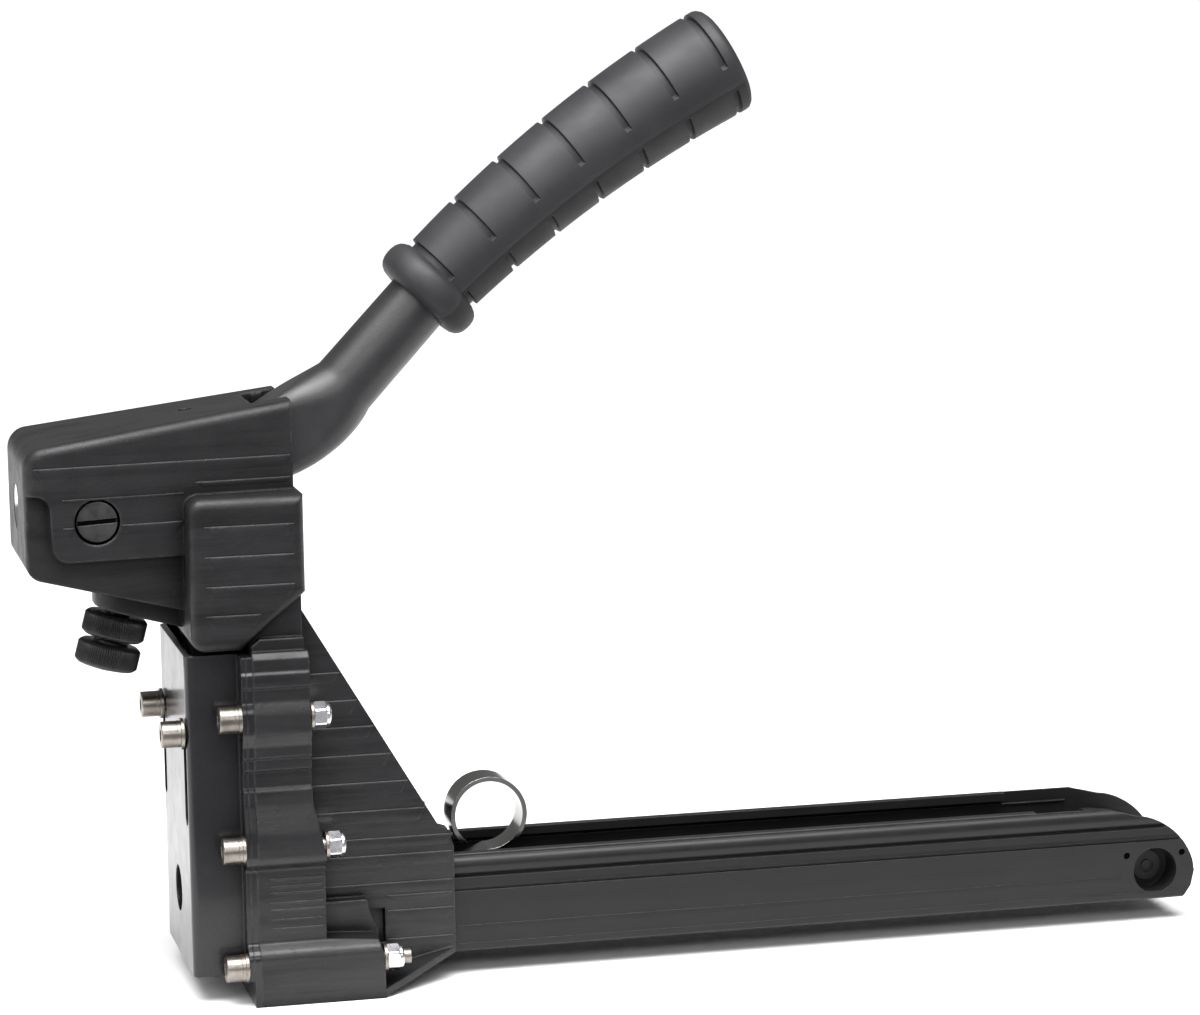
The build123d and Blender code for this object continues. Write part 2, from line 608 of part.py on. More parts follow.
def grip_frame(s):
    """Centre and rise angle of the gently curved grip at arc length s."""
    bend = s / GRIP_BEND_RADIUS
    a0 = radians(GRIP_START_ANGLE)
    x = GRIP_START[0] + GRIP_BEND_RADIUS * (sin(a0) - sin(a0 - bend))
    z = GRIP_START[1] + GRIP_BEND_RADIUS * (cos(a0 - bend) - cos(a0))
    return x, z, degrees(a0 - bend)


def grip_section(s, radius):
    x, z, angle = grip_frame(s)
    a = radians(angle)
    return Plane(origin=(x, 0, z), x_dir=(0, 1, 0), z_dir=(cos(a), 0, sin(a))) * Circle(radius)


def grip_sweep(r0, r1, s0, s1, stations=6):
    steps = [s0 + (s1 - s0) * i / (stations - 1) for i in range(stations)]
    return loft([grip_section(s, r0 + (r1 - r0) * (s - s0) / (s1 - s0)) for s in steps])


def make_handle_grip():
    radii = lambda s: GRIP_R[0] + (GRIP_R[1] - GRIP_R[0]) * min(1.0, max(0.0, s / (GRIP_LENGTH - 8)))
    body_s = [3.0 + (GRIP_LENGTH - 8.0) * i / 6 for i in range(7)]
    sections = [grip_section(s, radii(s)) for s in body_s]
    sections += [grip_section(GRIP_LENGTH - 2.2, GRIP_R[1] - 1.2), grip_section(GRIP_LENGTH, GRIP_R[1] - 5.2)]
    body = loft(sections)
    collar_s = [-6.0, -4.6, -1.6, 1.6, 4.6, 6.0]
    collar_r = [COLLAR_R - 4.4, COLLAR_R - 1.4, COLLAR_R, COLLAR_R, COLLAR_R - 1.4, COLLAR_R - 3.6]
    collar = loft([grip_section(s, r) for s, r in zip(collar_s, collar_r)])
    shape = body + collar
    bore = grip_sweep(8.0, 8.0, -8.0, GRIP_LENGTH - 13.6)
    return shape - bore - handle_bar()


# ------------------------------------------------------------ driver carriage
PIN_Z = PIVOT_Z + (DRIVE_X - PIVOT_X) * tan(radians(HANDLE_SWING / 2))


def make_carriage():
    x0, x1 = CARRIAGE_FRONT_X, CARRIAGE_REAR_X
    shape = block(x0, x1, -CROSSHEAD_HALF_W, CROSSHEAD_HALF_W, *CROSSHEAD_Z)
    shape = fillet(shape.edges().filter_by(Axis.X), 2.0)
    shape += block(4.4, 15.2, -PILLAR_HALF_W, PILLAR_HALF_W, 90.0, FORK_TOP_Z)
    shape -= block(0, 20, -FORK_HALF_GAP, FORK_HALF_GAP, 152.0, FORK_TOP_Z + 1)
    shape = fillet([e for e in shape.edges().filter_by(Axis.Y) if e.center().Z > FORK_TOP_Z - 0.1], 4.0)
    # lightening window in the pillar
    shape -= block(0, 20, -6.0, 6.0, 104.0, 142.0)
    shape -= cyl_y(CROSS_PIN_R + PUSH_FIT, -20, 20, DRIVE_X, PIN_Z)
    for sign in (-1, 1):
        shape -= cyl_z(SPRING_GUIDE_R + 0.5, 70, 100, SPRING_X, sign * SPRING_Y)
        shape -= cyl_x(M5_R + PUSH_FIT, x0 - 1, x1 + 1, sign * COVER_SLOT_Y, SCREW_Z)
    return shape


SPRING_GUIDE_R = 2.5


def make_cross_pin():
    pin = cyl_y(CROSS_PIN_R, -PILLAR_HALF_W, PILLAR_HALF_W, DRIVE_X, PIN_Z)
    return chamfer(pin.edges().filter_by(GeomType.CIRCLE), 0.5)


def make_driver_blade():
    x0 = CASTING_FRONT_X + 0.25
    x1 = x0 + BLADE_T
    shape = block(x0, x1, -29.3, 29.3, *CROSSHEAD_Z)
    shape += block(x0, x1, -BLADE_HALF_W, BLADE_HALF_W, BLADE_BOTTOM_Z, CROSSHEAD_Z[0] + 1)
    inner = [e for e in shape.edges().filter_by(Axis.X)
             if abs(abs(e.center().Y) - BLADE_HALF_W) < 0.1 and e.center().Z > CROSSHEAD_Z[0] - 1]
    shape = fillet(inner, 3.0)
    for sign in (-1, 1):
        shape -= cyl_x(M5_R + PUSH_FIT, x0 - 1, x1 + 1, sign * COVER_SLOT_Y, SCREW_Z)
    return shape


FRONT_SCREW_SEAT_X = -0.4 - WASHER_T - LOCKWASHER_T


def make_front_screws():
    end = CASTING_FRONT_X + 0.25 + BLADE_T
    return solids_of(*[cap_screw(FRONT_SCREW_SEAT_X, end, sign * COVER_SLOT_Y, SCREW_Z) for sign in (-1, 1)])


def make_front_lock_washers():
    x0 = FRONT_SCREW_SEAT_X
    return solids_of(*[
        split_ring_x(4.3, M5_R + PUSH_FIT, x0, x0 + LOCKWASHER_T, sign * COVER_SLOT_Y, SCREW_Z) for sign in (-1, 1)
    ])


def make_front_washers():
    x0 = FRONT_SCREW_SEAT_X + LOCKWASHER_T
    return solids_of(*[
        ring_x(WASHER_R, M5_R + PUSH_FIT, x0, x0 + WASHER_T, sign * COVER_SLOT_Y, SCREW_Z) for sign in (-1, 1)
    ])


# ------------------------------------------------------------- return springs
def make_spring_seat():
    shape = block(CARRIAGE_FRONT_X, CARRIAGE_REAR_X + 0.4, -29.2, 29.2, *SPRING_SEAT_Z)
    shape = fillet(shape.edges().filter_by(Axis.X), 1.5)
    for sign in (-1, 1):
        shape -= cyl_z(SPRING_GUIDE_R + PUSH_FIT, 30, 60, SPRING_X, sign * SPRING_Y)
    return shape


def make_spring_rods():
    return solids_of(*[
        chamfer(cyl_z(SPRING_GUIDE_R, SPRING_SEAT_Z[0], 74.0, SPRING_X, sign * SPRING_Y)
                .edges().filter_by(GeomType.CIRCLE), 0.4) for sign in (-1, 1)
    ])


def make_return_springs():
    z0, z1 = SPRING_SEAT_Z[1] + 0.1, CROSSHEAD_Z[0] - 0.1
    r_out = SPRING_R + SPRING_WIRE / 2
    r_in = SPRING_R - SPRING_WIRE / 2
    return solids_of(*[
        cyl_z(r_out, z0, z1, SPRING_X, sign * SPRING_Y) - cyl_z(r_in, z0 - 1, z1 + 1, SPRING_X, sign * SPRING_Y)
        for sign in (-1, 1)
    ])


# ----------------------------------------------------------- clinching anvils
def make_anvil(sign):
    """Claw that swings about an X axis; its hooked tip passes under the sole."""
    py, pz = ANVIL_PIVOT_Y, ANVIL_PIVOT_Z
    ty, tz = ANVIL_TIP
    length = hypot(ty - py, tz - pz)
    rise = degrees(atan2(tz - pz, ty - py))
    arm = outline((0, -4.6), (length - 2, -2.7), (length, -2.2), (length + 2.4, 0.2), (length - 1, 1.4), (0, 5.0))
    claw = arm + Circle(5.6)
    claw = Pos(py, pz) * Rot(0, 0, rise) * claw
    shape = front_prism(claw, *ANVIL_X)
    shape -= cyl_x(ANVIL_PIN_R + RUN_CLEARANCE, 0, 20, py, pz)
    return shape if sign > 0 else mirror(shape, about=Plane.XZ)


def make_anvil_pins():
    return solids_of(*[
        cyl_x(ANVIL_PIN_R, COVER_T + 0.3, CASTING_FRONT_X - 0.2, sign * ANVIL_PIVOT_Y, ANVIL_PIVOT_Z)
        for sign in (-1, 1)
    ])


def make_anvil_spacers():
    rings = []
    for sign in (-1, 1):
        y, z = sign * ANVIL_PIVOT_Y, ANVIL_PIVOT_Z
        rings.append(ring_x(4.6, ANVIL_PIN_R + PUSH_FIT, ANVIL_X[1] + 0.3, GUIDE_FRONT_X - 0.1, y, z))
        rings.append(ring_x(4.6, ANVIL_PIN_R + PUSH_FIT, COVER_T + 0.3, ANVIL_X[0] - 0.3, y, z))
    return solids_of(*rings)


# ------------------------------------------------------------ staple magazine
def tail_outline(drop=0.0, start=MAG_FRONT_X):
    """Side view of the magazine: its tail falls in two slopes into a round end."""
    top = MAG_TOP_Z - drop
    slope = Polyline((start, top), (311.5 - drop, top), (323.0 - drop, 36.4 - drop))
    nose = ThreePointArc((323.0 - drop, 36.4 - drop), (336.5 - drop, 30.4 - drop), (342.9 - drop, 20.0))
    close = Polyline((342.9 - drop, 20.0), (343.4 - drop, 16.5), (342.2 - drop, 11.4),
                     (339.5 - drop, MAG_FLOOR_Z[0]), (start, MAG_FLOOR_Z[0]), (start, top))
    return make_face(slope + nose + close)


def make_magazine_rail():
    w, t = MAG_HALF_W, MAG_WALL
    inner = w - t
    # wall section: flat side, narrow dark groove, shallow band and a round bead on top
    side = Polyline(
        (0, MAG_FLOOR_Z[0]), (w - 0.6, MAG_FLOOR_Z[0]), (w, MAG_FLOOR_Z[0] + 0.6), (w, MAG_GROOVE_Z - 0.8),
        (w - 0.8, MAG_GROOVE_Z - 0.7), (w - 0.8, MAG_GROOVE_Z - 0.1), (w - 0.15, MAG_GROOVE_Z + 0.05),
        (w - 0.45, MAG_GROOVE_Z + 1.0), (w - 0.5, 31.9), (w - 1.7, 32.5),
    )
    bead = ThreePointArc((w - 1.7, 32.5), (w, 35.7), (w - 1.9, 38.7))
    top = Polyline(
        (w - 1.9, 38.7), (w - 1.9, MAG_TOP_Z - 0.3), (w - 2.2, MAG_TOP_Z),
        (inner - MAG_LIP_W, MAG_TOP_Z), (inner - MAG_LIP_W, 36.8),
        (inner, 36.2), (inner, MAG_FLOOR_Z[1]), (0, MAG_FLOOR_Z[1]), (0, MAG_FLOOR_Z[0]),
    )
    half = make_face(side + bead + top)
    wall = front_prism(half, MAG_FRONT_X, 344.0)
    shape = wall + mirror(wall, about=Plane.XZ)
    shape &= side_prism(tail_outline(), -w, w)
    # the lips stop short of the tail, so that staples drop in from above
    shape -= block(MAG_LIP_END_X, 350.0, -inner, inner, MAG_FLOOR_Z[1], 45.0)
    shape -= cyl_y(BORE_R, -30, 30, BORE_X, BORE_Z)
    for x in TAIL_PIN_X:
        shape -= cyl_y(1.1 + PUSH_FIT, -30, 30, x, TAIL_PIN_Z)
    for sign in (-1, 1):
        for x in (45.0, 58.0):
            shape -= cyl_z(2.1, 7.0, 10.0, x, sign * 10.0)
    for x in CORE_SCREW_X:
        shape -= cyl_z(2.2, 7.0, 10.0, x, 0)
    return shape


CORE_SCREW_X = (110.0, 190.0, 280.0)


def make_staple_core():
    """Inverted channel that the staples straddle."""
    outer = block(MAG_FRONT_X + 0.4, 305.0, -CORE_HALF_W, CORE_HALF_W, MAG_FLOOR_Z[1], CORE_TOP_Z)
    outer = fillet([e for e in outer.edges().filter_by(Axis.X) if e.center().Z > 20], 0.8)
    inner = CORE_HALF_W - 2.2
    shape = outer - block(0, 400, -inner, inner, MAG_FLOOR_Z[1] - 1, CORE_TOP_Z - 2.0)
    for x in CORE_SCREW_X:
        shape += cyl_z(4.0, MAG_FLOOR_Z[1], CORE_TOP_Z - 1.0, x, 0)
        shape -= cyl_z(2.0 + PUSH_FIT, 5, 20.0, x, 0)
    return shape


def make_core_screws():
    """Low-head screws up through the magazine floor into the core's posts."""
    return solids_of(*[
        cyl_z(2.0, 7.6, 19.6, x, 0) + cyl_z(2.1, MAG_FLOOR_Z[0], MAG_FLOOR_Z[1], x, 0) for x in CORE_SCREW_X
    ])


def make_magazine_screws():
    """Cap screws up through the foot of the casting into the magazine floor."""
    return solids_of(*[
        cyl_z(4.0, 0.4, 2.3, x, sign * 10.0) + cyl_z(2.0, 2.3, 9.5, x, sign * 10.0)
        for sign in (-1, 1) for x in (45.0, 58.0)
    ])


def make_tail_block():
    """Plastic end block between the walls, hollow round the spring drum."""
    w = MAG_HALF_W - MAG_WALL - 0.05
    shape = side_prism(tail_outline(3.4), -w, w) & block(311.0, 350, -w, w, MAG_FLOOR_Z[1], 45)
    shape &= cyl_x(27.0, 300.0, 350.0, 0, 8.2)
    shape -= block(316.4, 350.0, -DRUM_ROOM, DRUM_ROOM, MAG_FLOOR_Z[1] - 1, 29.4)
    shape -= block(300.0, 320.0, -6.5, 6.5, 23.9, 29.4)
    for sign in (-1, 1):
        shape -= cyl_y(BORE_R, min(sign * 10.3, sign * 30), max(sign * 10.3, sign * 30), BORE_X, BORE_Z)
    shape -= cyl_y(2.0 + PUSH_FIT, -12, 12, BORE_X, BORE_Z)
    for x in TAIL_PIN_X:
        for sign in (-1, 1):
            shape -= cyl_y(1.1 + PUSH_FIT, min(sign * 12, sign * 19), max(sign * 12, sign * 19), x, TAIL_PIN_Z)
    return shape


DRUM_ROOM = 8.0


def make_tail_pins():
    pins = []
    for x in TAIL_PIN_X:
        for sign in (-1, 1):
            pins.append(cyl_y(1.1, min(sign * 12, sign * 19.3), max(sign * 12, sign * 19.3), x, TAIL_PIN_Z))
    return solids_of(*pins)


def make_drum_axle():
    """Riveted axle with a domed head in each side bore."""
    axle = cyl_y(2.0, -11.6, 11.6, BORE_X, BORE_Z)
    for sign in (-1, 1):
        axle += cyl_y(5.2, min(sign * 10.3, sign * 11.8), max(sign * 10.3, sign * 11.8), BORE_X, BORE_Z)
        groove = cyl_y(2.5, min(sign * 11.3, sign * 13), max(sign * 11.3, sign * 13), BORE_X, BORE_Z)
        axle -= groove - cyl_y(1.7, -20, 20, BORE_X, BORE_Z)
    return axle


DRUM_R = 5.0
COIL_R = 7.0


def make_spring_drum():
    drum = cyl_y(DRUM_R, -7.2, 7.2, BORE_X, BORE_Z)
    for sign in (-1, 1):
        drum += cyl_y(COIL_R + 0.6, min(sign * 5.8, sign * 7.2), max(sign * 5.8, sign * 7.2), BORE_X, BORE_Z)
    return drum - cyl_y(2.0 + RUN_CLEARANCE, -10, 10, BORE_X, BORE_Z)


def make_drum_coil():
    return cyl_y(COIL_R, -5.6, 5.6, BORE_X, BORE_Z) - cyl_y(DRUM_R, -10, 10, BORE_X, BORE_Z)


def make_feed_strip():
    """Flat spring from the coil to the pusher, lying on the core."""
    return block(92.0, 327.0, -5.0, 5.0, CORE_TOP_Z + 0.05, CORE_TOP_Z + 0.3)


# --------------------------------------------------------------------- pusher
def make_pusher():
    w = MAG_HALF_W - MAG_WALL - 0.5
    shape = block(PUSHER_FRONT_X, PUSHER_REAR_X, -w, w, *PUSHER_Z)
    shape = fillet(shape.edges().filter_by(Axis.X).group_by(Axis.Z)[-1], 1.2)
    shape += both_sides(block(PUSHER_FRONT_X, 52.0, CORE_HALF_W + 0.35, w, 10.2, PUSHER_Z[0] + 1))
    # relief over the feed spring, and a thumb step at the front
    shape -= block(PUSHER_FRONT_X + 6, PUSHER_REAR_X + 1, -5.6, 5.6, PUSHER_Z[0] - 1, PUSHER_Z[0] + 0.6)
    shape -= block(60.0, PUSHER_REAR_X + 1, -12.0, 12.0, PUSHER_Z[1] - 1.6, PUSHER_Z[1] + 1)
    for x in RIVET_X:
        shape -= cyl_z(1.5 + PUSH_FIT, PUSHER_Z[0] - 1, PUSHER_Z[1] + 1, x, 0)
    return shape


RIVET_X = (66.0, 77.0)


def make_pusher_ring():
    """Spring-steel strip riveted to the pusher and curled into a finger ring."""
    mid = RING_R - RING_T / 2
    end = radians(230)
    base_z = PUSHER_Z[1] - 1.6 + RING_T / 2
    loop = ThreePointArc((RING_X, RING_Z - mid), (RING_X + mid, RING_Z), (RING_X, RING_Z + mid))
    back = ThreePointArc((RING_X, RING_Z + mid), (RING_X + mid * cos(radians(165)), RING_Z + mid * sin(radians(165))),
                         (RING_X + mid * cos(end), RING_Z + mid * sin(end)))
    ramp = Line((85.5, base_z), (RING_X, RING_Z - mid))
    foot = Line((61.0, base_z), (85.5, base_z))
    path = foot + ramp + loop + back
    ribbon = trace(path, RING_T)
    ring = side_prism(ribbon, -RING_HALF_W, RING_HALF_W)
    for x in RIVET_X:
        ring -= cyl_z(1.5 + PUSH_FIT, 20.0, 35.0, x, 0)
    return ring


def make_ring_rivets():
    return solids_of(*[
        cyl_z(1.5, PUSHER_Z[0] + 0.7, PUSHER_Z[1] - 1.6 + RING_T, x, 0)
        + Pos(x, 0, PUSHER_Z[1] - 1.6 + RING_T) * (Sphere(2.6) & block(-3, 3, -3, 3, 0, 1.2))
        for x in RIVET_X
    ])


# --------------------------------------------------------------------- export
NODES = {
    "body_casting": make_body_casting,
    "guide_plate": make_guide_plate,
    "front_cover": make_front_cover,
    "flange_bolts": make_flange_bolts,
    "flange_washers": make_flange_washers,
    "flange_lock_washers": make_flange_lock_washers,
    "flange_nuts": make_flange_nuts,
    "head_housing": make_head_housing,
    "head_dowels": make_head_dowels,
    "nose_bush": make_nose_bush,
    "pivot_pin": make_pivot_pin,
    "pivot_ring": make_pivot_ring,
    "lock_knob": make_lock_knob,
    "adjusting_knob": make_adjusting_knob,
    "stop_screw": make_stop_screw,
    "handle_arm": make_handle_arm,
    "lever_bush": make_lever_bush,
    "handle_grip": make_handle_grip,
    "carriage": make_carriage,
    "cross_pin": make_cross_pin,
    "driver_blade": make_driver_blade,
    "front_screws": make_front_screws,
    "front_lock_washers": make_front_lock_washers,
    "front_washers": make_front_washers,
    "spring_seat": make_spring_seat,
    "spring_rods": make_spring_rods,
    "return_springs": make_return_springs,
    "anvil_left": lambda: make_anvil(-1),
    "anvil_right": lambda: make_anvil(1),
    "anvil_pins": make_anvil_pins,
    "anvil_spacers": make_anvil_spacers,
    "magazine_rail": make_magazine_rail,
    "staple_core": make_staple_core,
    "core_screws": make_core_screws,
    "magazine_screws": make_magazine_screws,
    "tail_block": make_tail_block,
    "tail_pins": make_tail_pins,
    "drum_axle": make_drum_axle,
    "spring_drum": make_spring_drum,
    "drum_coil": make_drum_coil,
    "feed_strip": make_feed_strip,
    "pusher": make_pusher,
    "pusher_ring": make_pusher_ring,
    "ring_rivets": make_ring_rivets,
}

os.makedirs("parts", exist_ok=True)
for name, make in NODES.items():
    shape = make().moved(Location((-SOLE_CENTRE_X, 0, 0)))
    export_step(shape, f"parts/{name}.step")
    print(name, len(shape.solids()), round(shape.volume, 1))
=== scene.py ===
import json
import math

import bmesh
import bpy
from mathutils import Matrix, Vector


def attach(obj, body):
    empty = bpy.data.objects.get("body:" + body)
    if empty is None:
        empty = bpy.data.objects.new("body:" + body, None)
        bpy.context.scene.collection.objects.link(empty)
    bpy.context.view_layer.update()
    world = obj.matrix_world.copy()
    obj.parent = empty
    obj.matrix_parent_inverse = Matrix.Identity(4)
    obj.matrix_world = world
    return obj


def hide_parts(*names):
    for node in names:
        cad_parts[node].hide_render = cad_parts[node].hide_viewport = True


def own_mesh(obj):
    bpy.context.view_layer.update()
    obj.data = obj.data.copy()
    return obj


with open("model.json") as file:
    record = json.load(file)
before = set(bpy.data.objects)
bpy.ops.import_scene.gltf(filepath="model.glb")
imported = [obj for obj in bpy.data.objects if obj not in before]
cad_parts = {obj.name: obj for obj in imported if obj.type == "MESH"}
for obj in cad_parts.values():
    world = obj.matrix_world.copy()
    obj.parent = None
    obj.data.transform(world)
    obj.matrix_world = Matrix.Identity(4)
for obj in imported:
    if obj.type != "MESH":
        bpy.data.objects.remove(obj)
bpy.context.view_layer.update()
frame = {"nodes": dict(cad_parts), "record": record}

# Lengths below are millimetres in the CAD's own layout: x from the front face
# of the cover, z from the sole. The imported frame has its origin 44 mm behind.
SOLE_X = 44.0


def mm(x, y, z):
    return Vector(((x - SOLE_X) / 1000, y / 1000, z / 1000))


# ------------------------------------------------------------------ materials
class Graph:
    """A small helper for building one material's nodes."""

    def __init__(self, name):
        self.material = bpy.data.materials.new(name)
        self.material.use_nodes = True
        self.nodes = self.material.node_tree.nodes
        self.links = self.material.node_tree.links
        self.shader = self.nodes["Principled BSDF"]
        self.place = self.node("ShaderNodeTexCoord").outputs["Object"]

    def node(self, kind, **settings):
        made = self.nodes.new(kind)
        for key, value in settings.items():
            setattr(made, key, value)
        return made

    def join(self, source, target):
        self.links.new(source, target)

    def stretched(self, scale):
        mapping = self.node("ShaderNodeMapping")
        mapping.inputs["Scale"].default_value = scale
        self.join(self.place, mapping.inputs["Vector"])
        return mapping.outputs["Vector"]

    def noise(self, scale, detail=4.0, rough=0.55, vector=None):
        made = self.node("ShaderNodeTexNoise")
        made.inputs["Scale"].default_value = scale
        made.inputs["Detail"].default_value = detail
        made.inputs["Roughness"].default_value = rough
        self.join(vector or self.place, made.inputs["Vector"])
        return made.outputs["Fac"]

    def spread(self, value, low, high, to_low=0.0, to_high=1.0):
        made = self.node("ShaderNodeMapRange", clamp=True)
        for socket, number in zip(("From Min", "From Max", "To Min", "To Max"), (low, high, to_low, to_high)):
            made.inputs[socket].default_value = number
        self.join(value, made.inputs["Value"])
        return made.outputs["Result"]

    def maths(self, kind, a, b):
        made = self.node("ShaderNodeMath", operation=kind, use_clamp=True)
        for socket, value in zip(made.inputs, (a, b)):
            if isinstance(value, float):
                socket.default_value = value
            else:
                self.join(value, socket)
        return made.outputs[0]

    def mix(self, share, a, b):
        made = self.node("ShaderNodeMix", data_type="RGBA")
        self.join(share, made.inputs["Factor"])
        for socket, value in ((made.inputs[6], a), (made.inputs[7], b)):
            if isinstance(value, tuple):
                socket.default_value = (*value, 1.0)
            else:
                self.join(value, socket)
        return made.outputs[2]

    def edges(self, radius):
        """Soft normals along edges, and how near an edge a point is."""
        bevel = self.node("ShaderNodeBevel", samples=4)
        bevel.inputs["Radius"].default_value = radius
        facing = self.node("ShaderNodeNewGeometry").outputs["Normal"]
        dot = self.node("ShaderNodeVectorMath", operation="DOT_PRODUCT")
        self.join(bevel.outputs["Normal"], dot.inputs[0])
        self.join(facing, dot.inputs[1])
        return bevel.outputs["Normal"], self.spread(dot.outputs["Value"], 0.985, 0.86)

    def bump(self, height, strength, distance, normal=None):
        made = self.node("ShaderNodeBump")
        made.inputs["Strength"].default_value = strength
        made.inputs["Distance"].default_value = distance
        self.join(height, made.inputs["Height"])
        if normal is not None:
            self.join(normal, made.inputs["Normal"])
        return made.outputs["Normal"]


def surface(name, dark, light, rough, metallic=0.0, specular=0.5, coat=0.0, patch=35.0, grain=900.0,
            grain_strength=0.25, worn=None, wear=0.35, edge=0.0005, brush=None, brush_strength=0.12, pits=0.0,
            streaks=None, painted_crevice_shade=0.0):
    """A finish: patchy colour and roughness, fine grain and worn edges, and brushing, pits or streaks;
    crevice darkening is painted shade.
    """
    g = Graph(name)
    s = g.shader
    s.inputs["Metallic"].default_value = metallic
    if coat:
        s.inputs["Coat Weight"].default_value = coat
        s.inputs["Coat Roughness"].default_value = 0.06
    soft, near = g.edges(edge)
    patches = g.spread(g.noise(patch, 5.0, 0.6), 0.3, 0.7)
    if streaks:
        lines = g.spread(g.noise(1.0, 5.0, 0.65, g.stretched(streaks)), 0.36, 0.64)
        patches = g.maths("MULTIPLY", g.maths("ADD", patches, lines), 0.5)
    colour = g.mix(patches, dark, light)
    scuffs = g.spread(g.noise(patch * 7, 6.0, 0.7), 0.42, 0.72)
    if worn:
        share = g.maths("MULTIPLY", g.maths("MULTIPLY", near, scuffs), wear)
        colour = g.mix(share, colour, worn)
    # Painted shade: an ambient-occlusion mask darkens the colour towards the dark tone and lowers the
    # specular in crevices and recesses.
    if painted_crevice_shade:
        openness = g.node("ShaderNodeAmbientOcclusion", samples=6)
        openness.inputs["Distance"].default_value = painted_crevice_shade
        clear = g.spread(openness.outputs["AO"], 0.35, 0.9)
        colour = g.mix(clear, dark, colour)
        shine = g.spread(clear, 0.0, 1.0, specular * 0.45, specular)
        if streaks:
            shine = g.maths("MULTIPLY", shine, g.spread(lines, 0.0, 1.0, 0.7, 1.0))
        g.join(shine, s.inputs["Specular IOR Level"])
    else:
        s.inputs["Specular IOR Level"].default_value = specular
    g.join(colour, s.inputs["Base Color"])
    fine = g.noise(grain, 3.0, 0.6)
    low, high = rough
    roughness = g.spread(g.noise(patch * 2.5, 4.0, 0.65), 0.3, 0.7, low, high)
    g.join(roughness, s.inputs["Roughness"])
    normal = g.bump(fine, grain_strength, 0.00012, soft)
    if pits:
        holes = g.spread(g.noise(grain * 0.28, 2.0, 0.5), 0.60, 0.72)
        normal = g.bump(holes, pits, 0.00012, normal)
    if brush:
        normal = g.bump(g.noise(1.0, 4.0, 0.7, g.stretched(brush)), brush_strength, 0.00006, normal)
    g.join(normal, s.inputs["Normal"])
    return g.material


def wound(name, dark, light, axis_x, axis_z, pitch):
    """Layers of strip wound about a Y axis: rings in its side face."""
    g = Graph(name)
    g.shader.inputs["Metallic"].default_value = 1.0
    soft, _ = g.edges(0.0002)
    shifted = g.node("ShaderNodeVectorMath", operation="SUBTRACT")
    centre = mm(axis_x, 0, axis_z)
    shifted.inputs[1].default_value = (centre.x, 0, centre.z)
    g.join(g.place, shifted.inputs[0])
    flat = g.node("ShaderNodeVectorMath", operation="MULTIPLY")
    flat.inputs[1].default_value = (1, 0, 1)
    g.join(shifted.outputs[0], flat.inputs[0])
    size = g.node("ShaderNodeVectorMath", operation="LENGTH")
    g.join(flat.outputs[0], size.inputs[0])
    scaled = g.node("ShaderNodeMath", operation="MULTIPLY")
    g.join(size.outputs["Value"], scaled.inputs[0])
    scaled.inputs[1].default_value = 1.0 / pitch
    wave = g.node("ShaderNodeMath", operation="PINGPONG")
    g.join(scaled.outputs[0], wave.inputs[0])
    wave.inputs[1].default_value = 0.5
    share = g.spread(wave.outputs[0], 0.0, 0.5)
    g.join(g.mix(share, dark, light), g.shader.inputs["Base Color"])
    g.join(g.spread(g.noise(300.0), 0.3, 0.7, 0.25, 0.4), g.shader.inputs["Roughness"])
    g.join(g.bump(share, 0.6, 0.0001, soft), g.shader.inputs["Normal"])
    return g.material


